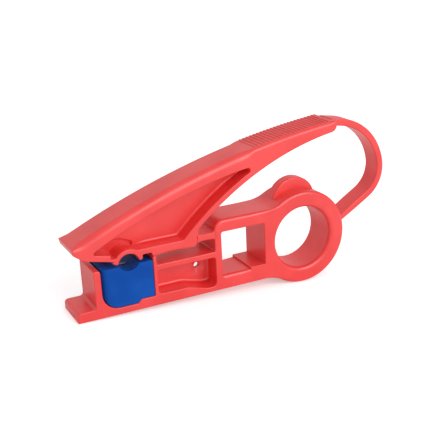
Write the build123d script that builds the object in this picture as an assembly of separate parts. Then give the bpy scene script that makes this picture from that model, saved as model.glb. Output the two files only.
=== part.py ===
from build123d import *
import os
from math import asin, atan2, cos, degrees, hypot, radians, sin

# Twisted-pair cable stripper: one springy red moulding with a finger ring, a jaw lever on a
# thin flexing neck and a flat spring strap, and a blue cassette that holds the jacket blade.
# The outlines are drawn in the tool's own plane: x runs along the base towards the ring,
# y runs up, and the ring's centre is the origin. Everything is in millimetres.

# Moulding as a whole
thickness = 14.0
web_thickness = 1.6
rim_radius = 0.6

# Finger ring
bore_radius = 10.8
ring_wall = 5.6
bore_lip_radius = 1.5

# Stop lug on the ring's shoulder
lug_radius = 8.0
lug_width = 4.0
lug_offset = -0.4
lug_rise = 4.05
lug_edge_radius = 0.5

# Base bar and foot; the base lies this far below the ring's centre
base_drop = 11.8
base_blend = 12.0
foot_length = 6.3
foot_height = 3.4
foot_corner = 1.2
foot_fillet = 1.0

# Cable station: how far left of the ring's centre a cable lies across the tool
cable_reach = 63.6

# Cassette bay round the cable station, between the post and the partition
bay_before_cable = 9.6
bay_after_cable = 8.0
bay_floor = 2.2
bay_step_length = 6.0
bay_step_height = 1.2
bay_corner = 5.5
post_width = 2.3
post_corner = 1.0
post_below_jaw = 1.0
partition_width = 1.2

# Rail between the partition and the handle block
rail_floor = 3.4
rail_dip = 1.7
rail_dip_run = 3.4
rail_pocket_height = 8.5
rail_pocket_corner = 1.6
rail_pocket_floor_radius = 0.9
rib_height = 1.9
slot_height = 3.2
pin_hole_radius = 1.0
pin_hole_inset = 4.4
pin_hole_below_rib = 3.8

# Flexing neck that the jaw lever turns on
neck_length = 5.8
neck_thickness = 2.1

# Handle block with its window
block_reach = 33.7
block_above_neck = 3.7
block_corner = 3.5
block_blend = 8.0
window_left_wall = 2.4
window_width = 16.1
window_roof = 4.2
window_floor = 4.8
window_ledge = 0.7
window_ledge_length = 5.6
window_corner = 0.8

# Jaw lever: long arcs, tail, and heights above the jaw's closing line
lever_top_radius = 284.2
underside_radius = 99.6
crest_radius = 2.0
tail_reach = 14.0
tail_top = 39.04
tail_lip = 1.6
nose_overhang = 18.0
nose_top_height = 7.44
nose_face = 2.0
nose_slant = 0.5
jaw_lip_overhang = 14.3
jaw_lip_height = 3.4
jaw_floor_height = 1.0
jaw_wall = 2.1
heel_height = 1.5
jaw_edge_radius = 1.2
strut_thickness = 1.9
strut_foot_inset = 0.6
strut_foot_rise = 2.4
floor_wall = 3.2
closing_gap = 0.1

# Pockets in both sides of the lever, the deeper one beside the cable guide
lever_web = 3.0
pocket_roof_radius = 168.0
pocket_overhang = 11.0
pocket_end_height = 0.9
pocket_roof_left_wall = 5.5
pocket_roof_right_wall = 6.457
pocket_roof_reach = 8.0
pocket_tip_radius = 0.5
pocket_floor_radius = 0.4
jaw_web = 1.2
jaw_pocket_height = 5.6

# Half-round cable guide on the jaw, over the groove in the cassette
guide_radius = 3.6
guide_wall = 1.25
guide_below_jaw = 1.1
guide_foot_gap = 0.9
guide_relief = 1.5

# Ribbed thumb pad
pad_rib_count = 20
pad_rib_pitch = 1.4
pad_rib_radius = 0.45
pad_rib_proud = 0.3
pad_start_reach = 21.5
pad_margin = 0.9

# Spring strap from the lever's tail round to the ring
strap_width = 6.5
strap_thickness = 2.0
strap_slope = 9.3
strap_lead = 4.0
strap_upper_radius = 19.8
strap_upper_angle = 71.9
strap_lower_radius = 10.9
strap_lower_angle = 68.5
strap_edge_radius = 0.3

# Blade cassette and its blade
cassette_clearance = 0.15
cassette_below_jaw = 1.2
cassette_edge_radius = 1.4
groove_radius = 3.75
groove_depth = 1.9
blade_width = 6.4
blade_thickness = 0.6
blade_bevel = 1.0
blade_bite = 0.45
blade_edge_flat = 0.04

# Heights and places that follow from the sizes above
ring_radius = bore_radius + ring_wall
base = -base_drop
bay_left = -cable_reach - bay_before_cable
bay_right = -cable_reach + bay_after_cable
bay_bottom = base + bay_floor
bay_step = bay_bottom + bay_step_height
post_left = bay_left - post_width
foot_reach = foot_length - post_left
rail_left = bay_right + partition_width
pocket_top = base + rail_floor + rail_pocket_height
rib_top = pocket_top + rib_height
jaw_line = rib_top + slot_height
partition_top = jaw_line - closing_gap
post_top = jaw_line - post_below_jaw
neck_bottom = jaw_line + heel_height
neck_top = neck_bottom + neck_thickness
block_left = -block_reach
neck_left = block_left - neck_length
block_top = neck_top + block_above_neck
window_left = block_left + window_left_wall
window_right = window_left + window_width
window_top = block_top - window_roof
window_bottom = base + window_floor
guide_outer = guide_radius + guide_wall
guide_centre = (-cable_reach, jaw_line - guide_below_jaw)
cassette_top = jaw_line - cassette_below_jaw
groove_bottom = cassette_top - groove_depth

# The tool rests on the foot's corner and on the lowest point of the ring, so the base bar
# slopes by this many degrees. The finished pieces are turned about the ring's centre.
rest_tilt = degrees(asin(ring_radius / hypot(foot_reach, base_drop)) - atan2(base_drop, foot_reach))


def slab(face, width):
    # A face drawn in the tool's plane, thickened evenly to both sides of the middle.
    return extrude(Plane.XZ * face, amount=width / 2, both=True)


def side_recess(face, web, floor_radius=0):
    # Two equal recesses, one from each side, that leave a web of the given thickness.
    # Their walls may run into the web with a radius.
    depth = (thickness - web) / 2
    offset = web / 2 + depth / 2
    blind = extrude(Plane.XZ * face, amount=depth / 2, both=True)
    if floor_radius:
        blind = fillet(blind.faces().sort_by(Axis.Y)[-1].edges(), floor_radius)
    front = Pos(0, -offset, 0) * blind
    return front + mirror(front, Plane.XZ)


def rounded(face, corners):
    # The face with each corner nearest to a given point rounded to its radius.
    for x, z, radius in corners:
        corner = face.vertices().sort_by_distance((x, z, 0))[0]
        face = fillet(corner, radius)
    return face


def rim_edges(solid, test):
    # The edges that lie in the front or back face of the moulding and pass a test.
    side = [e for e in solid.edges() if abs(abs((e @ 0.5).Y) - thickness / 2) < 1e-4]
    flat = [e for e in side if abs(abs((e @ 0).Y) - thickness / 2) < 1e-4]
    return [e for e in flat if test(e)]


def radius_from_centre(edge):
    middle = edge @ 0.5
    return hypot(middle.X, middle.Z)


def make_bay(gap):
    # Outline of the cassette's bay, or with a gap of the cassette that slides in it.
    left = bay_left + gap
    right = bay_right - gap
    floor = bay_bottom + gap
    step = bay_step + gap
    ramp = bay_right - bay_step_length
    top = cassette_top if gap else partition_top + bay_corner
    outline = make_face(
        Polyline(
            (left, top), (left, floor), (ramp, floor), (ramp + bay_step_height, step),
            (right, step), (right, top), (left, top),
        )
    )
    return rounded(outline, [(left, floor, bay_corner - gap)])


def make_frame_outline():
    # Foot, post, partition, rail and handle block as one silhouette, joined to the ring.
    body = make_face(
        Polyline(
            (-foot_reach, base), (-foot_reach, base + foot_height), (post_left, base + foot_height),
            (post_left, post_top), (bay_left, post_top), (bay_left, bay_step), (bay_right, bay_step),
            (bay_right, partition_top), (rail_left, partition_top), (rail_left, rib_top),
            (block_left, rib_top), (block_left, block_top), (0, block_top), (0, base),
            (-foot_reach, base),
        )
    )
    body = rounded(
        body,
        [
            (-foot_reach, base + foot_height, foot_corner),
            (post_left, base + foot_height, foot_fillet),
            (bay_left, post_top, post_corner),
            (block_left, block_top, block_corner),
        ],
    )
    outline = body + Circle(ring_radius)
    shoulder = (-(ring_radius**2 - block_top**2) ** 0.5, block_top)
    throat = (-(ring_radius**2 - base_drop**2) ** 0.5, base)
    outline = rounded(outline, [(*shoulder, block_blend), (*throat, base_blend)])
    return outline - make_bay(0)


def make_window():
    # Opening through the handle block, with a low ledge along the right of its floor.
    ledge_left = window_right - window_ledge_length
    outline = make_face(
        Polyline(
            (window_left, window_top), (window_left, window_bottom), (ledge_left, window_bottom),
            (ledge_left, window_bottom + window_ledge), (window_right, window_bottom + window_ledge),
            (window_right, window_top), (window_left, window_top),
        )
    )
    return rounded(
        outline,
        [
            (window_left, window_top, window_corner),
            (window_left, window_bottom, window_corner),
            (window_right, window_bottom + window_ledge, window_corner),
            (window_right, window_top, window_corner),
        ],
    )


def make_rail_pocket():
    # Shallow pocket in the rail; its floor dips towards the handle block.
    floor = base + rail_floor
    dip = floor - rail_dip
    dip_start = block_left - (block_left - rail_left) / 2
    outline = make_face(
        Polyline(
            (rail_left, pocket_top), (rail_left, floor), (dip_start, floor),
            (block_left - rail_dip_run, dip), (block_left, dip), (block_left, pocket_top),
            (rail_left, pocket_top),
        )
    )
    return rounded(
        outline,
        [(rail_left, floor, rail_pocket_corner), (block_left, dip, rail_pocket_corner)],
    )


def make_body_frame():
    frame = slab(make_frame_outline(), thickness)
    ring_rim = rim_edges(frame, lambda e: abs(radius_from_centre(e) - ring_radius) < 1e-3)
    frame = fillet(ring_rim, rim_radius)
    lug = Cylinder(lug_radius, lug_width, rotation=(90, 0, 0))
    lug = fillet(lug.edges().filter_by(GeomType.CIRCLE), lug_edge_radius)
    frame += Pos(lug_offset, 0, ring_radius + lug_rise - lug_radius) * lug
    frame -= slab(Circle(bore_radius), thickness)
    lips = rim_edges(frame, lambda e: abs(radius_from_centre(e) - bore_radius) < 1e-3)
    frame = fillet(lips, bore_lip_radius)
    frame -= slab(make_window(), thickness)
    frame -= side_recess(make_rail_pocket(), web_thickness, rail_pocket_floor_radius)
    pin_hole = Cylinder(pin_hole_radius, thickness, rotation=(90, 0, 0))
    return frame - Pos(block_left - pin_hole_inset, 0, pocket_top - pin_hole_below_rib) * pin_hole


def make_strap_path():
    # Middle line of the strap: a lead off the lever's tail, two arcs and a run to the ring.
    slope = radians(strap_slope)
    tail = Vector(tail_reach, tail_top)
    start = tail - Vector(sin(slope), cos(slope)) * (strap_thickness / 2)
    lead = Line(start, start + Vector(cos(slope), -sin(slope)) * strap_lead)
    upper = JernArc(lead @ 1, lead % 1, strap_upper_radius, -strap_upper_angle)
    lower = JernArc(upper @ 1, upper % 1, strap_lower_radius, -strap_lower_angle)
    run = Line(lower @ 1, lower @ 1 + (lower % 1) * (lower @ 1).length)
    return [lead, upper, lower, run]


def make_spring_strap():
    strap = slab(trace(make_strap_path(), strap_thickness), strap_width)
    strap = fillet(strap.edges().filter_by(lambda e: abs((e % 0.5).Y) < 0.1), strap_edge_radius)
    strap -= Cylinder(ring_radius, thickness, rotation=(90, 0, 0))
    return strap


def make_lever_lines():
    # The two long arcs of the lever: its upper face, and its underside over the handle block.
    slope = radians(strap_slope)
    tail = Vector(tail_reach, tail_top)
    tail_bottom = tail - Vector(sin(slope), cos(slope)) * (strap_thickness + tail_lip)
    nose = (-cable_reach - nose_overhang, jaw_line + nose_top_height)
    strut_foot = (neck_left + strut_foot_inset, neck_top + strut_foot_rise)
    upper = RadiusArc(nose, (tail_reach, tail_top), lever_top_radius)
    under = RadiusArc(strut_foot, tail_bottom, underside_radius)
    return upper, under


def make_lever_outline():
    upper, under = make_lever_lines()
    nose = upper @ 0
    stop = bay_right - closing_gap
    edges = [
        upper,
        Line(upper @ 1, under @ 1),
        under,
        Polyline(
            under @ 0, (neck_left, neck_top), (neck_left, neck_bottom),
            (neck_left - heel_height, jaw_line), (stop, jaw_line), (stop, jaw_line + guide_relief),
            (-cable_reach + guide_radius, jaw_line + guide_relief),
            (-cable_reach - guide_outer, jaw_line + jaw_floor_height),
            (-cable_reach - jaw_lip_overhang, jaw_line + jaw_lip_height),
            (nose.X + nose_slant, nose.Y - nose_face), nose,
        ),
    ]
    return make_face(edges)


def make_lever_pocket():
    # Space between the upper wall, the strut and the floor wall, open to both sides.
    upper, under = make_lever_lines()
    crown = upper.arc_center

    def below_crest(x, drop):
        return (x, crown.Y + (lever_top_radius**2 - (x - crown.X) ** 2) ** 0.5 - drop)

    left = below_crest(-cable_reach - pocket_overhang, pocket_roof_left_wall)
    right = below_crest(-pocket_roof_reach, pocket_roof_right_wall)
    blank = make_face(
        [
            RadiusArc(left, right, pocket_roof_radius),
            Polyline(
                right, (right[0], jaw_line + floor_wall), (-cable_reach, jaw_line + floor_wall),
                (-cable_reach - guide_outer, jaw_line + jaw_floor_height + jaw_wall),
                (left[0], left[1] - pocket_end_height), left,
            ),
        ]
    )
    strut = Pos(*under.arc_center) * Circle(underside_radius + strut_thickness)
    pocket = (blank - strut).faces().sort_by(Axis.X)[0]
    tip_corner = pocket.vertices().sort_by(Axis.X)[-1]
    return fillet(tip_corner, pocket_tip_radius)


def make_pad_ribs():
    # Half-round ribs across the upper face, spaced along its arc.
    upper, _ = make_lever_lines()
    turn = degrees(pad_rib_pitch / lever_top_radius)
    centre = upper.arc_center
    start = degrees(atan2((-pad_start_reach - centre.X), lever_top_radius))
    sunk = lever_top_radius - pad_rib_radius + pad_rib_proud
    ribs = []
    for k in range(pad_rib_count):
        angle = radians(start + k * turn)
        place = Pos(centre.X + sunk * sin(angle), 0, centre.Y + sunk * cos(angle))
        ribs.append(place * Cylinder(pad_rib_radius, thickness - 2 * pad_margin, rotation=(90, 0, 0)))
    return ribs


def make_jaw_lever():
    upper, _ = make_lever_lines()
    lever = slab(make_lever_outline(), thickness)
    crests = rim_edges(lever, lambda e: abs(e.length - upper.length) < 1e-3)
    lever = fillet(crests, crest_radius)
    jaw_edges = rim_edges(lever, lambda e: abs((e @ 0.5).Z - jaw_line) < 1e-3)
    lever = fillet(jaw_edges, jaw_edge_radius)
    pocket = make_lever_pocket()
    guide = Pos(*guide_centre) * Circle(guide_outer)
    jaw_zone = Pos(-cable_reach - pocket_overhang, jaw_line) * Rectangle(
        2 * pocket_overhang, 2 * jaw_pocket_height
    )
    lever += slab(guide, thickness)
    lever -= side_recess(pocket - guide, lever_web, pocket_floor_radius)
    lever -= side_recess((pocket & jaw_zone) - guide, jaw_web)
    lever -= slab(Pos(*guide_centre) * Circle(guide_radius), thickness)
    guide_foot = cassette_top + guide_foot_gap
    mouth = Pos(-cable_reach, guide_foot - guide_outer) * Rectangle(4 * guide_outer, 2 * guide_outer)
    lever -= slab(mouth, thickness)
    for rib in make_pad_ribs():
        lever += rib
    return lever


def make_hinge_neck():
    centre = ((neck_left + block_left) / 2, (neck_bottom + neck_top) / 2)
    neck = Pos(*centre) * Rectangle(neck_length, neck_thickness)
    return slab(neck, thickness)


def make_cassette_block():
    # Moulded block with a cable groove across its top and a slot below for the blade.
    groove = Pos(-cable_reach, groove_bottom + groove_radius) * Circle(groove_radius)
    block = slab(make_bay(cassette_clearance) - groove, thickness)
    left = bay_left + cassette_clearance
    side_edges = block.edges().filter_by(Axis.Z).filter_by_position(Axis.X, left - 0.01, left + 0.01)
    block = fillet(side_edges, cassette_edge_radius)
    slot = Box(blade_width, blade_thickness, 2 * (cassette_top - bay_bottom))
    return block - Pos(-cable_reach, 0, bay_bottom) * slot


def make_jacket_blade():
    # Flat steel blade, ground on both sides to an edge that stands a little above the groove.
    edge = groove_bottom + blade_bite
    bottom = bay_step + cassette_clearance
    half = blade_thickness / 2
    flat = blade_edge_flat / 2
    section = make_face(
        Polyline(
            (-half, bottom), (half, bottom), (half, edge - blade_bevel), (flat, edge),
            (-flat, edge), (-half, edge - blade_bevel), (-half, bottom),
        )
    )
    blade = extrude(Plane.YZ * section, amount=blade_width / 2, both=True)
    return Pos(-cable_reach, 0, 0) * blade


def write(name, shape):
    shape = Rot(0, -rest_tilt, 0) * shape
    shape.label = name
    export_step(shape, os.path.join("parts", name + ".step"))


os.makedirs("parts", exist_ok=True)
write("body_frame", make_body_frame())
write("jaw_lever", make_jaw_lever())
write("hinge_neck", make_hinge_neck())
write("spring_strap", make_spring_strap())
write("cassette_block", make_cassette_block())
write("jacket_blade", make_jacket_blade())
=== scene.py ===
import bpy
import bmesh
import math
import numpy as np
from mathutils import Matrix, Vector
from mathutils.geometry import delaunay_2d_cdt


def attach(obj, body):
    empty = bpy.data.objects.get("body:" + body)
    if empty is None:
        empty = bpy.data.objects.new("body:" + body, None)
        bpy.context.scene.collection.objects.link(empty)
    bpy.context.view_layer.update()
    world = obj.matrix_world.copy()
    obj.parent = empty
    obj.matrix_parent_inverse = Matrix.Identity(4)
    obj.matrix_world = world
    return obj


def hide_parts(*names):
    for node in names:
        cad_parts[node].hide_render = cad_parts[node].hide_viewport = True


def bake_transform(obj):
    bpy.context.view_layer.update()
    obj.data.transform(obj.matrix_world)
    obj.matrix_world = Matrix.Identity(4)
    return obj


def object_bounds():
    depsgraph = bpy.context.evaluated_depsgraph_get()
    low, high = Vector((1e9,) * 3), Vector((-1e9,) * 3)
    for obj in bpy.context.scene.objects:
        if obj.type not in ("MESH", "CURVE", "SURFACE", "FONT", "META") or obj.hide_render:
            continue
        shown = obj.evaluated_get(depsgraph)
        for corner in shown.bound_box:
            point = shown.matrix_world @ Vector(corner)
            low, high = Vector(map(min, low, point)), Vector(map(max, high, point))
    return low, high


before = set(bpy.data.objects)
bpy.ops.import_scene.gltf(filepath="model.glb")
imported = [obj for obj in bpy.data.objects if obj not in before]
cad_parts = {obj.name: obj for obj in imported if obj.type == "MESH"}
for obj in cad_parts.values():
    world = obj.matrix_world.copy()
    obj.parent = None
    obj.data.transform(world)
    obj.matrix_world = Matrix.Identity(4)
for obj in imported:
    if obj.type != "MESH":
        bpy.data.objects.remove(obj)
cadBox = [[float(v) for v in corner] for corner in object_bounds()]
print("frame loaded:", ", ".join(sorted(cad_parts)))

mm = 0.001

# Shapes are drawn in the tool's own plane, in millimetres: x along the base towards the ring,
# z up, the ring's centre at the origin. The tool rests on its foot and its ring, so that plane
# is turned by restTilt about the ring's bore when a mesh is made.
tool = {"half": 7.0, "footReach": 81.8, "baseDrop": 11.8, "ringRadius": 16.4, "cable": -63.6, "jaw": 5.2}
restTilt = (math.asin(tool["ringRadius"] / math.hypot(tool["footReach"], tool["baseDrop"]))
            - math.atan2(tool["baseDrop"], tool["footReach"]))


def seated(x, y, z):
    # tool plane in millimetres to the row frame in metres: a turn about the bore
    c, s = math.cos(restTilt), math.sin(restTilt)
    return np.stack([x * c - z * s, y, x * s + z * c], -1) * mm


# Finishes
def startMaterial(name):
    mat = bpy.data.materials.new(name)
    mat.use_nodes = True
    tree = mat.node_tree
    tree.nodes.clear()
    out = tree.nodes.new("ShaderNodeOutputMaterial")
    shader = tree.nodes.new("ShaderNodeBsdfPrincipled")
    tree.links.new(shader.outputs["BSDF"], out.inputs["Surface"])
    return mat, tree, shader


def spread(tree, scale, stretch=(1, 1, 1)):
    # Object coordinates times a scale in features per metre, stretched along each axis
    coord = tree.nodes.new("ShaderNodeTexCoord")
    mapping = tree.nodes.new("ShaderNodeMapping")
    mapping.inputs["Scale"].default_value = [scale * s for s in stretch]
    tree.links.new(coord.outputs["Object"], mapping.inputs["Vector"])
    return mapping.outputs["Vector"]


def noise(tree, vector, detail=2.0, rough=0.5):
    node = tree.nodes.new("ShaderNodeTexNoise")
    node.inputs["Scale"].default_value = 1.0
    node.inputs["Detail"].default_value = detail
    node.inputs["Roughness"].default_value = rough
    tree.links.new(vector, node.inputs["Vector"])
    return node.outputs["Fac"]


def ramp(tree, value, stops):
    # a colour ramp from (position, colour) pairs
    node = tree.nodes.new("ShaderNodeValToRGB")
    node.color_ramp.interpolation = "EASE"
    for element, (at, colour) in zip(node.color_ramp.elements, stops):
        element.position = at
        element.color = (*colour, 1)
    tree.links.new(value, node.inputs["Fac"])
    return node.outputs["Color"]


def between(tree, value, low, high):
    # a number that eases from low to high as a noise value goes from 0.3 to 0.7
    node = tree.nodes.new("ShaderNodeMapRange")
    node.interpolation_type = "SMOOTHSTEP"
    for socket, limit in zip(("From Min", "From Max", "To Min", "To Max"), (0.3, 0.7, low, high)):
        node.inputs[socket].default_value = limit
    tree.links.new(value, node.inputs["Value"])
    return node.outputs["Result"]


plastic = {"cloud": 90.0, "drift": 60.0, "peelDepth": 0.00003, "ior": 1.49, "glowReach": 0.0008}


def mouldedPlastic(name, look):
    # Cloudy pigment, roughness that drifts with the flow of the melt, and an orange-peel bump.
    # Below a roughness of 0.28 the denoiser follows reflections and draws faint curves.
    mat, tree, shader = startMaterial(name)
    cloud = noise(tree, spread(tree, plastic["cloud"]), 3.0)
    tint = ramp(tree, cloud, [(0.3, look["dark"]), (0.7, look["light"])])
    tree.links.new(tint, shader.inputs["Base Color"])
    drift = noise(tree, spread(tree, plastic["drift"]), 0.0)
    tree.links.new(between(tree, drift, *look["gloss"]), shader.inputs["Roughness"])
    peel = tree.nodes.new("ShaderNodeBump")
    peel.inputs["Strength"].default_value = look["peel"]
    peel.inputs["Distance"].default_value = plastic["peelDepth"]
    tree.links.new(noise(tree, spread(tree, look["grain"]), 2.0, 0.6), peel.inputs["Height"])
    tree.links.new(peel.outputs["Normal"], shader.inputs["Normal"])
    shader.inputs["IOR"].default_value = plastic["ior"]
    shader.inputs["Specular IOR Level"].default_value = look["shine"]
    shader.inputs["Subsurface Weight"].default_value = look["glow"]
    shader.inputs["Subsurface Radius"].default_value = (1.0, 0.25, 0.2)
    shader.inputs["Subsurface Scale"].default_value = plastic["glowReach"]
    return mat


redLook = {"dark": (0.78, 0.028, 0.027), "light": (0.86, 0.044, 0.042), "gloss": (0.29, 0.38),
           "grain": 900.0, "peel": 0.25, "shine": 0.85, "glow": 0.04}
blueLook = {"dark": (0.001, 0.062, 0.34), "light": (0.003, 0.088, 0.43), "gloss": (0.40, 0.52),
            "grain": 1200.0, "peel": 0.35, "shine": 0.12, "glow": 0.0}
redPlastic = mouldedPlastic("redPlastic", redLook)
bluePlastic = mouldedPlastic("bluePlastic", blueLook)

bladeSteel, steelTree, steelShader = startMaterial("bladeSteel")
steelShader.inputs["Metallic"].default_value = 1.0
grind = noise(steelTree, spread(steelTree, 300.0, (1, 1, 14)), 3.0)
# near-black colour: painted shade that keeps the blade dark inside the cable hole, a little lighter in
# streaks along the grind
bladeShadeColour = ramp(steelTree, grind, [(0.3, (0.060, 0.062, 0.070)), (0.7, (0.11, 0.112, 0.12))])
steelTree.links.new(bladeShadeColour, steelShader.inputs["Base Color"])
steelTree.links.new(between(steelTree, grind, 0.30, 0.44), steelShader.inputs["Roughness"])
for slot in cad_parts["jacket_blade"].material_slots:
    slot.material = bladeSteel
print("finishes made")


# Loops: closed outlines as arrays of (x, z), with the moulding on the left of travel
def arc(centre, radius, start, end, step=0.8):
    # points on a circle from one angle to another, in degrees, about step millimetres apart
    count = max(3, int(abs(math.radians(end - start)) * radius / step) + 2)
    turn = np.radians(np.linspace(start, end, count))
    return np.stack([centre[0] + radius * np.cos(turn), centre[1] + radius * np.sin(turn)], 1)


def circleThrough(a, b, radius):
    # centre of the circle of that radius through a and b that lies to the right of a to b
    a, b = np.array(a, float), np.array(b, float)
    chord = b - a
    half = np.linalg.norm(chord) / 2
    down = np.array([chord[1], -chord[0]]) / (2 * half)
    return (a + b) / 2 + down * math.sqrt(radius ** 2 - half ** 2)


def arcBetween(a, b, centre, step=0.8):
    # the shorter arc from a to b about a centre
    up, along = np.array([a[1], b[1]]) - centre[1], np.array([a[0], b[0]]) - centre[0]
    first, last = np.degrees(np.arctan2(up, along))
    last = first + (last - first + 180) % 360 - 180
    return arc(centre, math.hypot(a[0] - centre[0], a[1] - centre[1]), first, last, step)


def bearing(centre, point):
    # direction of a point from a centre, in degrees
    return math.degrees(math.atan2(point[1] - centre[1], point[0] - centre[0]))


def circlesMeet(a, radiusA, b, radiusB, side):
    # where two circles cross, to the left (1) or right (-1) of the line from a to b
    a, b = np.array(a, float), np.array(b, float)
    gap = np.linalg.norm(b - a)
    ahead = (b - a) / gap
    along = (gap ** 2 + radiusA ** 2 - radiusB ** 2) / (2 * gap)
    aside = side * math.sqrt(radiusA ** 2 - along ** 2)
    return a + ahead * along + np.array([-ahead[1], ahead[0]]) * aside


def beyond(points, reach, *spots):
    # the points farther than reach from every spot, which leaves room to round the corners there
    for spot in spots:
        points = points[np.hypot(points[:, 0] - spot[0], points[:, 1] - spot[1]) > reach]
    return points


def corners(points):
    # rows of (x, z, radius); points given without a radius, as on an arc, stay sharp
    points = np.atleast_2d(np.array(points, float))
    return points if points.shape[1] == 3 else np.column_stack([points, np.zeros(len(points))])


def rounded(parts, step=1.6):
    # Joins rows of (x, z, radius) into a loop. A corner is cut back by radius times tan(turn / 2)
    # and the cut is filled with an arc; then long runs are divided into equal steps.
    p = np.concatenate([corners(q) for q in parts])
    keep = np.linalg.norm(p[:, :2] - np.roll(p[:, :2], 1, 0), axis=1) > 1e-4
    p = p[keep]
    xy, r = p[:, :2], p[:, 2]
    ahead = np.roll(xy, -1, 0) - xy
    ahead /= np.linalg.norm(ahead, axis=1)[:, None]
    back = np.roll(ahead, 1, 0)
    turn = np.arctan2(back[:, 0] * ahead[:, 1] - back[:, 1] * ahead[:, 0], (back * ahead).sum(1))
    cut = r * np.tan(np.abs(turn) / 2)
    side = np.sign(turn)
    left = np.stack([-back[:, 1], back[:, 0]], 1)
    centre = xy - back * cut[:, None] + left * (side * r)[:, None]
    share = np.linspace(0, 1, 7)
    angle = turn[:, None] * share
    spoke = -left * side[:, None]
    cosA, sinA = np.cos(angle)[..., None], np.sin(angle)[..., None]
    across = np.stack([-spoke[:, 1], spoke[:, 0]], 1)
    bend = centre[:, None] + r[:, None, None] * (spoke[:, None] * cosA + across[:, None] * sinA)
    bend[r == 0] = xy[r == 0][:, None]
    loop = bend.reshape(-1, 2)
    loop = loop[np.linalg.norm(loop - np.roll(loop, 1, 0), axis=1) > 0.02]
    run = np.linalg.norm(np.roll(loop, -1, 0) - loop, axis=1)
    pieces = np.maximum(1, np.ceil(run / step)).astype(int)
    start = np.repeat(loop, pieces, 0)
    stride = np.repeat((np.roll(loop, -1, 0) - loop) / pieces[:, None], pieces, 0)
    order = np.arange(len(start)) - np.repeat(np.cumsum(pieces) - pieces, pieces)
    return start + stride * order[:, None]


def intoMoulding(loop):
    # mitred normals that point to the left of travel, into the material
    ahead = np.roll(loop, -1, 0) - loop
    ahead /= np.linalg.norm(ahead, axis=1)[:, None]
    left = np.stack([-ahead[:, 1], ahead[:, 0]], 1)
    mitre = left + np.roll(left, 1, 0)
    mitre /= np.linalg.norm(mitre, axis=1)[:, None]
    return mitre / np.maximum((mitre * left).sum(1), 0.6)[:, None]


def eased(values, times=6):
    # evens out a column of radii round a loop
    for _ in range(times):
        values = (np.roll(values, 1) + 2 * values + np.roll(values, -1)) / 4
    return values


# Surfaces
quarter = np.linspace(0, math.pi / 2, 6)
rollIn, rollUp = 1 - np.sin(quarter), 1 - np.cos(quarter)


def gridFaces(rows, columns):
    # quads between the rows of a grid whose columns run round a loop
    i, j = np.meshgrid(np.arange(rows - 1), np.arange(columns), indexing="ij")
    k = (j + 1) % columns
    quads = np.stack([i * columns + j, i * columns + k, (i + 1) * columns + k, (i + 1) * columns + j], -1)
    return quads.reshape(-1, 4)


def wall(loop, offsets, heights):
    # A profile carried along a loop: point = loop + offset * normal, at depth y.
    # offsets and heights hold one row per step of the profile and one column per loop point.
    inward = intoMoulding(loop)
    spots = loop[None] + offsets[..., None] * inward[None]
    return seated(spots[..., 0], heights, spots[..., 1]).reshape(-1, 3), gridFaces(len(offsets), len(loop))


def throughWall(loop, roll, half):
    # wall from the front face to the back face: quarter-round of radius roll, straight, quarter-round
    sink, rise = rollIn[:, None] * roll, rollUp[:, None] * roll
    return wall(loop, np.concatenate([sink, sink[::-1]]), np.concatenate([rise - half, half - rise[::-1]]))


def pocketWall(loop, roll, half, floor, fillet, side):
    # wall from the face down to a pocket's floor: quarter-round at the face, hollow quarter at the floor
    sink, rise = rollIn[:, None] * roll, half - rollUp[:, None] * roll
    hollow = -(rollUp[:, None] * fillet)
    drop = floor + rollIn[:, None] * fillet
    return wall(loop, np.concatenate([sink, hollow]), side * np.concatenate([rise, drop]))


def flatFace(loops, y):
    # Triangles between loops at depth y: a Delaunay net held to the loops, of which those
    # triangles stay whose middle lies inside an odd number of loops.
    sizes = [len(loop) for loop in loops]
    order = np.arange(sum(sizes))
    onwards = np.concatenate([np.roll(part, -1) for part in np.split(order, np.cumsum(sizes)[:-1])])
    edges = np.stack([order, onwards], 1).tolist()
    net = delaunay_2d_cdt(list(map(Vector, np.concatenate(loops).tolist())), edges, [], 0, 1e-6)
    spots, faces = np.array(net[0], float), np.array(net[2])
    middle = spots[faces].mean(1)
    inside = np.zeros(len(middle), dtype=int)
    for loop in loops:
        nextUp = np.roll(loop, -1, 0)
        spans = (loop[:, 1] > middle[:, 1:2]) != (nextUp[:, 1] > middle[:, 1:2])
        rise = np.where(np.abs(nextUp[:, 1] - loop[:, 1]) < 1e-12, 1e-12, nextUp[:, 1] - loop[:, 1])
        crossing = loop[:, 0] + (middle[:, 1:2] - loop[:, 1]) / rise * (nextUp[:, 0] - loop[:, 0])
        inside += (spans & (middle[:, 0:1] < crossing)).sum(1)
    faces = faces[inside % 2 == 1]
    return seated(spots[:, 0], np.full(len(spots), float(y)), spots[:, 1]), faces


def shifted(loop, distance):
    # a loop moved into the moulding, by one distance or by one for each point
    return loop + intoMoulding(loop) * np.broadcast_to(distance, len(loop))[:, None]


def meshObject(name, mat, spots, faces, weld):
    # a smooth object whose faces point outwards; weld joins its surfaces where they touch
    mesh = bpy.data.meshes.new(name)
    mesh.from_pydata(spots.tolist(), [], faces)
    bm = bmesh.new()
    bm.from_mesh(mesh)
    if weld:
        bmesh.ops.remove_doubles(bm, verts=bm.verts, dist=1.5e-6)
        bmesh.ops.dissolve_degenerate(bm, edges=bm.edges, dist=1e-7)
    bmesh.ops.recalc_face_normals(bm, faces=bm.faces)
    unclosed = sum(1 for e in bm.edges if len(e.link_faces) != 2)
    bm.to_mesh(mesh)
    bm.free()
    mesh.polygons.foreach_set("use_smooth", np.ones(len(mesh.polygons), dtype=bool))
    mesh.materials.append(mat)
    obj = bpy.data.objects.new(name, mesh)
    bpy.context.scene.collection.objects.link(obj)
    even = obj.modifiers.new("evenShading", "WEIGHTED_NORMAL")
    even.weight = 90
    print(name, "made:", len(mesh.polygons), "faces,", unclosed, "open edges")
    return obj


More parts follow.
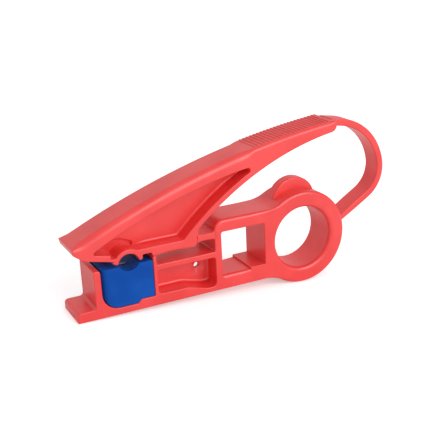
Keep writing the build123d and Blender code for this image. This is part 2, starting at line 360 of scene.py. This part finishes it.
def moulding(name, mat, surfaces):
    # joins surfaces, each an array of points and one of faces, into one closed mesh object
    spots, faces, first = [], [], 0
    for points, polygons in surfaces:
        spots.append(points)
        faces.extend((polygons + first).tolist())
        first += len(points)
    return meshObject(name, mat, np.concatenate(spots), faces, True)


def platePart(outline, outlineRoll, holes, pockets, half):
    # A moulding of even depth: outer wall, through holes, and pockets in both sides. A hole is
    # (loop, roll); a pocket is (loop, roll, floor depth, fillet, loops cut through its floor,
    # nested pockets as (loop, roll, floor depth, fillet)).
    surfaces = [throughWall(outline, outlineRoll, half)]
    rims = [shifted(outline, outlineRoll)]
    for loop, roll in holes:
        roll = np.broadcast_to(roll, len(loop))
        surfaces.append(throughWall(loop, roll, half))
        rims.append(shifted(loop, roll))
    floors = []
    for loop, roll, floor, fillet, cuts, nested in pockets:
        roll, fillet = np.broadcast_to(roll, len(loop)), np.broadcast_to(fillet, len(loop))
        rims.append(shifted(loop, roll))
        inner = [shifted(loop, -fillet), *cuts]
        for side in (-1, 1):
            surfaces.append(pocketWall(loop, roll, half, floor, fillet, side))
            for nestLoop, nestRoll, nestFloor, nestFillet in nested:
                nestRoll, nestFillet = (np.broadcast_to(v, len(nestLoop)) for v in (nestRoll, nestFillet))
                surfaces.append(pocketWall(nestLoop, nestRoll, floor, nestFloor, nestFillet, side))
                surfaces.append(flatFace([shifted(nestLoop, -nestFillet)], side * nestFloor))
        for cut in cuts:
            surfaces.append(wall(cut, np.zeros((2, len(cut))), np.repeat([[-floor], [floor]], len(cut), 1)))
        inner += [shifted(n[0], np.broadcast_to(n[1], len(n[0]))) for n in nested]
        floors.append((inner, floor))
    for side in (-1, 1):
        surfaces.append(flatFace(rims, side * half))
        surfaces += [flatFace(inner, side * floor) for inner, floor in floors]
    return surfaces


# Body frame: x of its upright walls, z of its ledges, then radii and the pocket's half web
body = {"blockLeft": -33.7, "railLeft": -54.4, "bayRight": -55.6, "bayLeft": -73.2, "postLeft": -75.5,
        "blockTop": 12.5, "wallTop": 5.1, "postTop": 4.2, "railTop": 2.0, "footTop": -8.4, "bayFloor": -9.6,
        "throat": 12.0, "shoulder": 8.0, "bore": 10.8, "web": 0.8,
        "rim": 0.35, "baseRim": 0.2, "blockRim": 1.2, "ringRim": 1.2, "lip": 1.5, "floorFillet": 1.0,
        "sill": 1.3}
ring, base, blockTop, footTop = tool["ringRadius"], -tool["baseDrop"], body["blockTop"], body["footTop"]
throatZ, shoulderZ = base - body["throat"], blockTop + body["shoulder"]
throat = (-math.sqrt((ring + body["throat"]) ** 2 - throatZ ** 2), throatZ)
shoulder = (-math.sqrt((ring + body["shoulder"]) ** 2 - shoulderZ ** 2), shoulderZ)
throatTurn, shoulderTurn = bearing(throat, (0, 0)), bearing(shoulder, (0, 0))
frameLoop = rounded([
    [(-tool["footReach"], base, 0.45)],
    arc(throat, body["throat"], 90, throatTurn),
    arc((0, 0), ring, throatTurn - 180, shoulderTurn + 180),
    arc(shoulder, body["shoulder"], shoulderTurn, -90),
    [(body["blockLeft"], blockTop, 3.5), (body["blockLeft"], body["railTop"], 0.5),
     (body["railLeft"], body["railTop"], 0.5), (body["railLeft"], body["wallTop"], 0.45),
     (body["bayRight"], body["wallTop"], 0.45), (body["bayRight"], footTop, 0.5),
     (-60.4, footTop, 0.8), (-61.6, body["bayFloor"], 0.8),
     (body["bayLeft"], body["bayFloor"], 5.5), (body["bayLeft"], body["postTop"], 1.0),
     (body["postLeft"], body["postTop"], 0.45), (body["postLeft"], footTop, 1.1),
     (-tool["footReach"], footTop, 1.2)],
])


def frameRoll(x, z):
    # radius of the rim at each place on the outline
    r = np.full(len(x), body["rim"])
    r = np.where(z < base + 0.3, body["baseRim"], r)
    r = np.where((z > 9.5) & (x > -33.5) & (x < -14), body["blockRim"], r)
    r = np.where((np.hypot(x, z) < ring + 0.1), body["ringRim"], r)
    return eased(r)


# the handle's window, whose floor has a wide sill on the left; the ring's bore; the rail's pocket
# and the hole through its web
windowLoop = rounded([[(-31.3, 8.3, 0.8), (-15.2, 8.3, 0.8), (-15.2, -7.0, 0.8), (-31.3, -7.0, 0.8)]])
windowRoll = eased(np.where((windowLoop[:, 1] < -6.5) & (windowLoop[:, 0] < -21.5), body["sill"], 0.3), 4)
boreLoop = arc((0, 0), body["bore"], 360, 0, 0.6)[:-1]
railLoop = rounded([[(body["railLeft"], 0.1, 1.1), (body["blockLeft"], 0.1, 1.1),
                     (body["blockLeft"], -10.1, 1.6), (-37.1, -10.1, 4.0),
                     (-44.0, -8.2, 6.0), (body["railLeft"], -8.2, 1.6)]])
pinLoop = arc((-38.1, -3.7), 1.0, 360, 0, 0.25)[:-1]
frameSurfaces = platePart(
    frameLoop, frameRoll(frameLoop[:, 0], frameLoop[:, 1]),
    [(windowLoop, windowRoll), (boreLoop, body["lip"])],
    [(railLoop, 0.3, body["web"], body["floorFillet"], [pinLoop], [])],
    tool["half"])

# the stop lug is a disc that ends inside the ring's wall, short of the bore
lug = {"radius": 8.3, "top": 20.45, "offset": -0.75, "width": 4.0, "edge": 0.5, "seat": 2.8, "corner": 0.7,
       "room": 1.6}
lugCentre, seat = (lug["offset"], lug["top"] - lug["radius"]), body["bore"] + lug["seat"]
lugRight, lugLeft = (circlesMeet((0, 0), seat, lugCentre, lug["radius"], side) for side in (-1, 1))
lugFrom, lugTo = bearing(lugCentre, lugRight), bearing(lugCentre, lugLeft) % 360
lugArc, seatArc = arc(lugCentre, lug["radius"], lugFrom, lugTo, 0.5), arcBetween(lugLeft, lugRight, (0, 0))
lugLoop = rounded([
    [(*lugRight, lug["corner"])],
    beyond(lugArc, lug["room"], lugRight, lugLeft),
    [(*lugLeft, lug["corner"])],
    beyond(seatArc, lug["room"], lugRight, lugLeft),
])
frameSurfaces += platePart(lugLoop, np.full(len(lugLoop), lug["edge"]), [], [], lug["width"] / 2)
# a low ledge on the window's floor, a hair short of the faces
ledgeLoop = rounded([[(-20.8, -6.3, 0.25), (-20.8, -7.6, 0.2), (-14.7, -7.6, 0.2), (-14.7, -6.3, 0.2)]])
frameSurfaces += platePart(ledgeLoop, np.full(len(ledgeLoop), 0.15), [], [], tool["half"] - 0.02)
bodyFrame = moulding("bodyFrame", redPlastic, frameSurfaces)
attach(bodyFrame, "frame")
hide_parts("body_frame")

# Jaw lever: an upper face on a wide arc (the crown) and an underside on a tighter one (the hollow)
jaw, cable = tool["jaw"], tool["cable"]
lever = {"crest": 2.5, "padCrest": 1.3, "noseFade": 1.1, "tailFade": 0.45, "rim": 0.35, "footRim": 0.26,
         "jawEdge": 1.2, "jawFrom": -53.0, "jawTo": -43.4, "web": 1.5, "deepWeb": 0.6, "fillet": 0.9,
         "crown": 284.2, "hollow": 99.6, "roof": 168.0, "strut": 1.9, "tailSlope": 9.3, "tailDepth": 3.6,
         "neckFace": -39.5, "guideInner": 3.6, "guideOuter": 5.1, "guideDrop": 1.1, "guideFoot": 4.9,
         "relief": 1.3, "reliefEnd": -55.7, "floorRise": 3.2, "slotFloor": 7.0, "barEnd": -69.3,
         "deepTop": 11.3, "deepKnee": 9.6, "hair": 0.08, "tipReach": 5.6}
pad = {"count": 22, "pitch": 1.357, "start": -18.1, "radius": 0.45, "proud": 0.33, "half": 5.8}
nose, tail, strutFoot = (-81.6, 12.64), (14.0, 39.04), (-38.9, 11.2)
crownRadius, tailSlope, tailDepth = lever["crown"], math.radians(lever["tailSlope"]), lever["tailDepth"]
tailUnder = (tail[0] - math.sin(tailSlope) * tailDepth, tail[1] - math.cos(tailSlope) * tailDepth)
crown = circleThrough(nose, tail, crownRadius)
hollow = circleThrough(strutFoot, tailUnder, lever["hollow"])
guide = (cable, jaw - lever["guideDrop"])
reliefTop = jaw + lever["relief"]


def onCircle(centre, radius, z, side):
    # x where a circle meets a height, on its left (-1) or right (1)
    return centre[0] + side * math.sqrt(radius ** 2 - (z - centre[1]) ** 2)


outer, inner, foot = lever["guideOuter"], lever["guideInner"], lever["guideFoot"]
springing, guideTop = foot + 0.4, (guide[0], guide[1] + inner)
innerLeft, innerRight = ((onCircle(guide, inner, springing, side), springing) for side in (-1, 1))
leverLoop = rounded([
    [(nose[0] + 0.5, nose[1] - 2.0, 0.45), (cable - 14.3, jaw + 3.05, 3.0)],
    [(cable - 4.95, jaw + 0.85, 0.12), (cable - 5.4, jaw + 0.3, 0.32), (cable - 3.75, foot - 0.25, 0.4)],
    arcBetween(innerLeft, guideTop, guide, 0.5),
    arcBetween(guideTop, innerRight, guide, 0.5),
    [(onCircle(guide, inner, foot, 1), foot, 0.4), (onCircle(guide, outer, foot, 1), foot, 0.7),
     (onCircle(guide, outer, reliefTop, 1), reliefTop, 0.5), (lever["reliefEnd"], reliefTop, 0.65),
     (lever["reliefEnd"], jaw, 0.6), (-41.0, jaw, 0.6), (lever["neckFace"], jaw + 1.5, 0.5),
     (lever["neckFace"], 8.8, 0.6)],
    beyond(arcBetween(strutFoot, tailUnder, hollow), 3.2, tailUnder),
    [(*tailUnder, 2.3), (*tail, 0.9)],
    beyond(beyond(arcBetween(tail, nose, crown), 1.5, tail), 1.0, nose),
    [(*nose, 0.45)],
])


def leverRoll(x, z):
    # the crest is round along the upper face; it fades slowly at the tail, quickly at the nose
    above = np.abs(np.hypot(x - crown[0], z - crown[1]) - crownRadius) < 0.02
    full = np.where(x > pad["start"] - 1.4, lever["padCrest"], lever["crest"])
    fromNose, fromTail = np.hypot(x - nose[0], z - nose[1]), np.hypot(x - tail[0], z - tail[1])
    fade = 0.3 + np.minimum(lever["noseFade"] * fromNose, lever["tailFade"] * fromTail)
    r = np.where(above, np.minimum(full, fade), lever["rim"])
    r = np.where((x < cable - 3.0) & (x > cable - 6.0) & (z < jaw + 1.2), lever["footRim"], r)
    alongJaw = (np.abs(z - jaw) < 0.05) & (x > lever["jawFrom"]) & (x < lever["jawTo"])
    return eased(np.where(alongJaw, lever["jawEdge"], r), 3)


roofLeft, roofRight = (cable - 11.0, 10.36), (-8.0, 29.637)
roofCentre = circleThrough(roofLeft, roofRight, lever["roof"])
strutRadius = lever["hollow"] + lever["strut"]
floorTop = jaw + lever["floorRise"]
tip =circlesMeet(hollow, strutRadius, roofCentre, lever["roof"], -1)  # the pocket's roof meets the strut
strutStart = (onCircle(hollow, strutRadius, floorTop, -1), floorTop)
slotFloor, barEnd, deepKnee = lever["slotFloor"], lever["barEnd"], lever["deepKnee"]


def overGuide(radius, rightZ, leftZ):
    # an arc over the guide, from a height on its right to a height on its left
    right, left = (onCircle(guide, radius, rightZ, 1), rightZ), (onCircle(guide, radius, leftZ, -1), leftZ)
    return arcBetween(right, left, guide, 0.4)


# The pocket passes over the guide's tube and down the gap between tube and jaw bar. Its narrow
# right tip is rounded as widely as the last tipReach millimetres allow.
tipReach = lever["tipReach"]
roofRun = beyond(arcBetween(roofLeft, tip, roofCentre), tipReach, tip)
strutRun = beyond(arcBetween(tip, strutStart, hollow), tipReach, tip)
opening = math.radians(bearing(tip, roofRun[-1]) - bearing(tip, strutRun[0])) % (2 * math.pi)
opening = min(opening, 2 * math.pi - opening)
pocketLoop = rounded([
    roofRun,
    [(*tip, (tipReach - 0.2) * math.tan(opening / 2))],
    beyond(strutRun, 1.2, strutStart),
    [(*strutStart, 1.2)],
    overGuide(outer, floorTop, slotFloor),
    [(barEnd, slotFloor, 0.15), (barEnd, jaw + 3.1, 0.45), (cable - 11.0, jaw + 4.26, 0.35)],
])
# Its deeper part lies round the tube. It keeps a hair inside the pocket's own wall from the
# roof's left end back to the tube, and its free edge ends in an arc on the right.
inside = shifted(pocketLoop, -lever["hair"])
roofPoints = int(np.argmax(pocketLoop[:, 1] > lever["deepTop"] - 0.2))
fromGuide = np.hypot(pocketLoop[:, 0] - guide[0], pocketLoop[:, 1] - guide[1])
tubeStart = int(np.argmax(fromGuide < outer + 0.05))
deepLoop = rounded([
    inside[:roofPoints],
    [(-64.3, lever["deepTop"], 3.0), (-60.2, deepKnee, 0.9), (-60.3, floorTop + lever["hair"], 0)],
    inside[tubeStart:],
])
deepX, deepZ = deepLoop[:, 0], deepLoop[:, 1]
free = ((deepZ > deepKnee) & (deepX > -72.4)) | ((deepX > -60.7) & (deepZ > 8.7))
deepEdge = np.where(free, 0.3, 0.02)  # only the free edge is rounded


def pocketFillet(x, z):
    # the floor's fillet shrinks towards the tip and is a hair beside the deeper part
    nearTip = np.hypot(x - tip[0], z - tip[1]) - tipReach
    fillet = np.clip(nearTip * 0.12, 0.15, lever["fillet"])
    below, above = np.interp(x, [-59.0, -56.8], [0, 1]), np.interp(x, [-72.0, -68.5], [0, 1])
    return np.maximum(fillet * np.where(z < deepKnee, below, above), 0.03)


leverSurfaces = platePart(
    leverLoop, leverRoll(leverLoop[:, 0], leverLoop[:, 1]), [],
    [(pocketLoop, 0.3, lever["web"], pocketFillet(pocketLoop[:, 0], pocketLoop[:, 1]), [],
      [(deepLoop, deepEdge, lever["deepWeb"], deepEdge)])],
    tool["half"])
jawLever = moulding("jawLever", redPlastic, leverSurfaces)
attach(jawLever, "lever")
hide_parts("jaw_lever")

# Thumb pad: round ribs across the upper face, spaced along its arc. A rib is a row of circles
# across the lever, point = rib centre + swell * (cos, sin), where swell falls to nothing at its ends.
turnStart = math.atan2(pad["start"] - crown[0], crownRadius)
ribTurn = turnStart + np.arange(pad["count"]) * pad["pitch"] / crownRadius
sunk = crownRadius - pad["radius"] + pad["proud"]
ribX, ribZ = crown[0] + sunk * np.sin(ribTurn), crown[1] + sunk * np.cos(ribTurn)
around = np.linspace(0, 2 * math.pi, 13)[:-1]
station = np.array([-1, -0.995, -0.98, -0.95, 0, 0.95, 0.98, 0.995, 1]) * pad["half"]
swell = np.array([0, 0.45, 0.8, 1, 1, 1, 0.8, 0.45, 0]) * pad["radius"]
x = ribX[:, None, None] + swell[:, None] * np.cos(around)
z = ribZ[:, None, None] + swell[:, None] * np.sin(around)
y = np.broadcast_to(station[:, None], x.shape)
oneRib = gridFaces(len(station), len(around))
ribs = [(seated(x[k], y[k], z[k]).reshape(-1, 3), oneRib) for k in range(pad["count"])]
padRibs = moulding("padRibs", redPlastic, ribs)
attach(padRibs, "lever")


# Spring strap and flexing neck: swept bars that bend between lever and frame
def sweptBar(path, across, halfWidth, halfThick, edge):
    # A rounded rectangle carried along a path: point = path + u * normal at depth y, where
    # (u, y) runs round the rectangle; the first and last rows close in a flat end.
    ahead = np.gradient(path, axis=0)
    ahead /= np.linalg.norm(ahead, axis=1)[:, None]
    normal = np.stack([-ahead[:, 1], ahead[:, 0]], 1)
    bend = np.linspace(0, math.pi / 2, 5)
    u = np.concatenate([halfThick - edge + edge * np.sin(bend), halfThick - edge + edge * np.cos(bend)])
    v = np.concatenate([halfWidth - edge + edge * np.cos(bend), -(halfWidth - edge) - edge * np.sin(bend)])
    u, v = np.concatenate([u, -u]), np.concatenate([v, -v])
    side = u[None] * np.broadcast_to(across, len(path))[:, None]
    spotX, spotZ = path[:, :1] + normal[:, :1] * side, path[:, 1:] + normal[:, 1:] * side
    spots = seated(spotX, np.broadcast_to(v, side.shape), spotZ)
    rows, columns = side.shape
    ends = [spots[0].mean(0), spots[-1].mean(0)]
    j, k = np.arange(columns), (np.arange(columns) + 1) % columns
    caps = [np.stack([np.full(columns, rows * columns + end), row * columns + j, row * columns + k], 1)
            for end, row in enumerate((0, rows - 1))]
    faces = gridFaces(rows, columns).tolist() + np.concatenate(caps).tolist()
    return np.concatenate([spots.reshape(-1, 3), ends]), faces


# upper and lower are the strap's two bends, each a radius and an angle in degrees
strap = {"half": 3.75, "thick": 1.22, "sunk": 0.06, "edge": 0.5, "lead": 4.0, "upper": (19.57, 71.9),
         "lower": (11.2, 68.0), "run": 18, "intoRing": 1.2, "root": 0.74, "taperSteps": 10}
heading = -tailSlope
start = np.array(tail) + np.array([math.sin(heading), -math.cos(heading)]) * (strap["thick"] + strap["sunk"])
direction = np.array([math.cos(heading), math.sin(heading)])
legs = [start + direction * np.linspace(-0.5, strap["lead"], 5)[:, None]]
spot = start + direction * strap["lead"]
for radius, turn in (strap["upper"], strap["lower"]):
    centre = spot + np.array([direction[1], -direction[0]]) * radius
    first = bearing(centre, spot)
    bow = arc(centre, radius, first, first - turn, 0.8)
    legs.append(bow[1:])
    spot = bow[-1]
    heading -= math.radians(turn)
    direction = np.array([math.cos(heading), math.sin(heading)])
legs.append(spot + direction * np.linspace(0, strap["run"], strap["run"] + 1)[1:, None])
path = np.concatenate(legs)
inRing = np.linalg.norm(path, axis=1) < ring - strap["intoRing"]
path = path[:int(np.argmax(inRing)) + 1]  # ends inside the ring's wall
steps = strap["taperSteps"]
beyondBow = np.clip(np.arange(len(path)) - (len(path) - 1 - steps), 0, steps) / steps
taper = 1 + (strap["root"] - 1) * beyondBow  # thins towards the ring
strapBar = sweptBar(path, taper, strap["half"], strap["thick"], strap["edge"])
springStrap = meshObject("springStrap", redPlastic, *strapBar, False)
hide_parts("spring_strap")
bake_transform(springStrap)

# the neck runs level and flares where it meets the lever and the handle block
neck = {"from": -40.0, "to": -33.2, "rows": 18, "z": 7.75, "thick": 1.05, "edge": 0.3, "flare": 0.55,
        "flareRun": 0.9}
neckX = np.linspace(neck["from"], neck["to"], neck["rows"])
nearLever = np.clip(1 - (neckX - lever["neckFace"]) / neck["flareRun"], 0, 1)
nearBlock = np.clip(1 - (body["blockLeft"] - neckX) / neck["flareRun"], 0, 1)
flare = 1 + neck["flare"] * nearLever ** 2 + neck["flare"] * nearBlock ** 2
neckPath = np.stack([neckX, np.full(neck["rows"], neck["z"])], 1)
neckBar = sweptBar(neckPath, flare, tool["half"], neck["thick"], neck["edge"])
hingeNeck = meshObject("hingeNeck", redPlastic, *neckBar, False)
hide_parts("hinge_neck")
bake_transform(hingeNeck)

# Blade cassette: rounded rectangles carried along x, whose four sides are functions of x
cassette = {"left": -72.85, "right": -55.75, "floor": -9.45, "top": 4.0, "step": 1.2, "stepFrom": -61.9,
            "stepTo": -60.1, "groove": 3.75, "deep": 1.9, "upright": 2.8, "corner": 5.35, "rim": 0.25}


def drawnBack(distance, radius):
    # how far a side has drawn back at a distance from its end, for a quarter-round of that radius
    return radius - np.sqrt(radius ** 2 - np.clip(radius - distance, 0, radius) ** 2)


toEnd = 1 - np.cos(np.linspace(0, math.pi / 2, 9))
grooveZ = cassette["top"] - cassette["deep"] + cassette["groove"]
grooveHalf = math.sqrt(cassette["groove"] ** 2 - (cassette["top"] - grooveZ) ** 2)
x = np.unique(np.round(np.concatenate([
    np.linspace(cassette["left"], cassette["right"], 24),
    cassette["left"] + np.outer([cassette["rim"], cassette["upright"], cassette["corner"]], toEnd).ravel(),
    cassette["right"] - cassette["rim"] * toEnd,
    cable + np.linspace(-grooveHalf, grooveHalf, 21),
    np.linspace(cassette["stepFrom"], cassette["stepTo"], 9),
]), 3))
fromLeft, fromRight = x - cassette["left"], np.maximum(cassette["right"] - x, 0)
ends = drawnBack(fromLeft, cassette["rim"]) + drawnBack(fromRight, cassette["rim"])
front = -tool["half"] + drawnBack(fromLeft, cassette["upright"]) + drawnBack(fromRight, cassette["rim"])
back = tool["half"] - ends
rise = np.clip((x - cassette["stepFrom"]) / (cassette["stepTo"] - cassette["stepFrom"]), 0, 1)
bottom = (cassette["floor"] + cassette["step"] * rise ** 2 * (3 - 2 * rise)
          + drawnBack(fromLeft, cassette["corner"]) + drawnBack(fromRight, cassette["rim"]))
hollowZ = grooveZ - np.sqrt(np.maximum(cassette["groove"] ** 2 - (x - cable) ** 2, 0))
crownZ = np.where(np.abs(x - cable) < grooveHalf, hollowZ, cassette["top"] - ends)
# one section: its four corners turn a quarter each, from front and bottom round to front and top
fan = np.linspace([180, 270, 0, 90], [270, 360, 90, 180], 5).T.ravel()
onBack, onCrown = np.repeat([0, 1, 1, 0], 5), np.repeat([0, 0, 1, 1], 5)
inset, rim = np.array([cassette["rim"], -cassette["rim"]]), cassette["rim"]
sectionY = (np.stack([front, back], 1) + inset)[:, onBack] + rim * np.cos(np.radians(fan))
sectionZ = (np.stack([bottom, crownZ], 1) + inset)[:, onCrown] + rim * np.sin(np.radians(fan))
points = seated(np.broadcast_to(x[:, None], sectionY.shape), sectionY, sectionZ)
wrap = points.reshape(-1, 3), gridFaces(len(x), len(fan))
lids = [(points[end], np.arange(len(fan))[None]) for end in (0, -1)]
cassetteBlock = moulding("cassetteBlock", bluePlastic, [wrap, *lids])
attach(cassetteBlock, "cassette")
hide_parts("cassette_block")

# Camera at the photograph's viewing angle
camera = {"place": (-153.04, -249.19, 98.24), "look": (-27.96, 0.0, 7.51), "lens": 71.22, "roll": 0.28}
camData = bpy.data.cameras.new("camera")
camData.lens = camera["lens"]
camData.sensor_width = 36
camData.clip_start, camData.clip_end = 0.01, 10
cam = bpy.data.objects.new("camera", camData)
bpy.context.scene.collection.objects.link(cam)
cam.location = Vector(camera["place"]) * mm
gaze = Vector(camera["look"]) - Vector(camera["place"])
towards = gaze.normalized().to_track_quat("-Z", "Y").to_matrix()
cam.rotation_euler = (towards @ Matrix.Rotation(math.radians(camera["roll"]), 3, "Z")).to_euler()
bpy.context.scene.camera = cam
print("camera placed")

# Floor, backdrop and light
studio = {"reach": 3.0, "paper": 0.93, "paperGlow": 0.4, "world": 0.68}
floorZ = cadBox[0][2]
reach = studio["reach"]
floorMesh = bpy.data.meshes.new("floor")
floorMesh.from_pydata([(-reach, -reach, floorZ), (reach, -reach, floorZ), (reach, reach, floorZ),
                       (-reach, reach, floorZ)], [], [(0, 1, 2, 3)])
floor = bpy.data.objects.new("floor", floorMesh)
bpy.context.scene.collection.objects.link(floor)
paper, paperTree, paperShader = startMaterial("floorPaper")
paperShader.inputs["Base Color"].default_value = (studio["paper"],) * 3 + (1,)
paperShader.inputs["Roughness"].default_value = 0.9
floorMesh.materials.append(paper)


def whereSeen(tree, unseen, seen):
    # one strength for rays straight from the camera and one for all others
    rays = tree.nodes.new("ShaderNodeLightPath")
    strength = tree.nodes.new("ShaderNodeMapRange")
    strength.inputs["To Min"].default_value = unseen
    strength.inputs["To Max"].default_value = seen
    tree.links.new(rays.outputs["Is Camera Ray"], strength.inputs["Value"])
    return strength.outputs["Result"]


paperShader.inputs["Emission Color"].default_value = (1, 1, 1, 1)
paperTree.links.new(whereSeen(paperTree, 0.0, studio["paperGlow"]), paperShader.inputs["Emission Strength"])

world = bpy.data.worlds.new("studio")
bpy.context.scene.world = world
world.use_nodes = True
sky = world.node_tree
background = sky.nodes["Background"]
background.inputs["Color"].default_value = (1, 1, 1, 1)
sky.links.new(whereSeen(sky, studio["world"], 1.0), background.inputs["Strength"])

lamp = {"at": (0.28, -0.88, 0.56), "aim": (-0.03, 0, 0), "size": (0.8, 0.8), "watts": 6.2}
lampData = bpy.data.lights.new("keyLamp", "AREA")
lampData.shape = "RECTANGLE"
lampData.size, lampData.size_y = lamp["size"]
lampData.energy = lamp["watts"]
keyLamp = bpy.data.objects.new("keyLamp", lampData)
bpy.context.scene.collection.objects.link(keyLamp)
keyLamp.location = lamp["at"]
keyLamp.rotation_euler = (Vector(lamp["aim"]) - Vector(lamp["at"])).to_track_quat("-Z", "Y").to_euler()

bpy.context.scene.view_settings.view_transform = "Standard"
print("studio set")

bpy.context.view_layer.update()
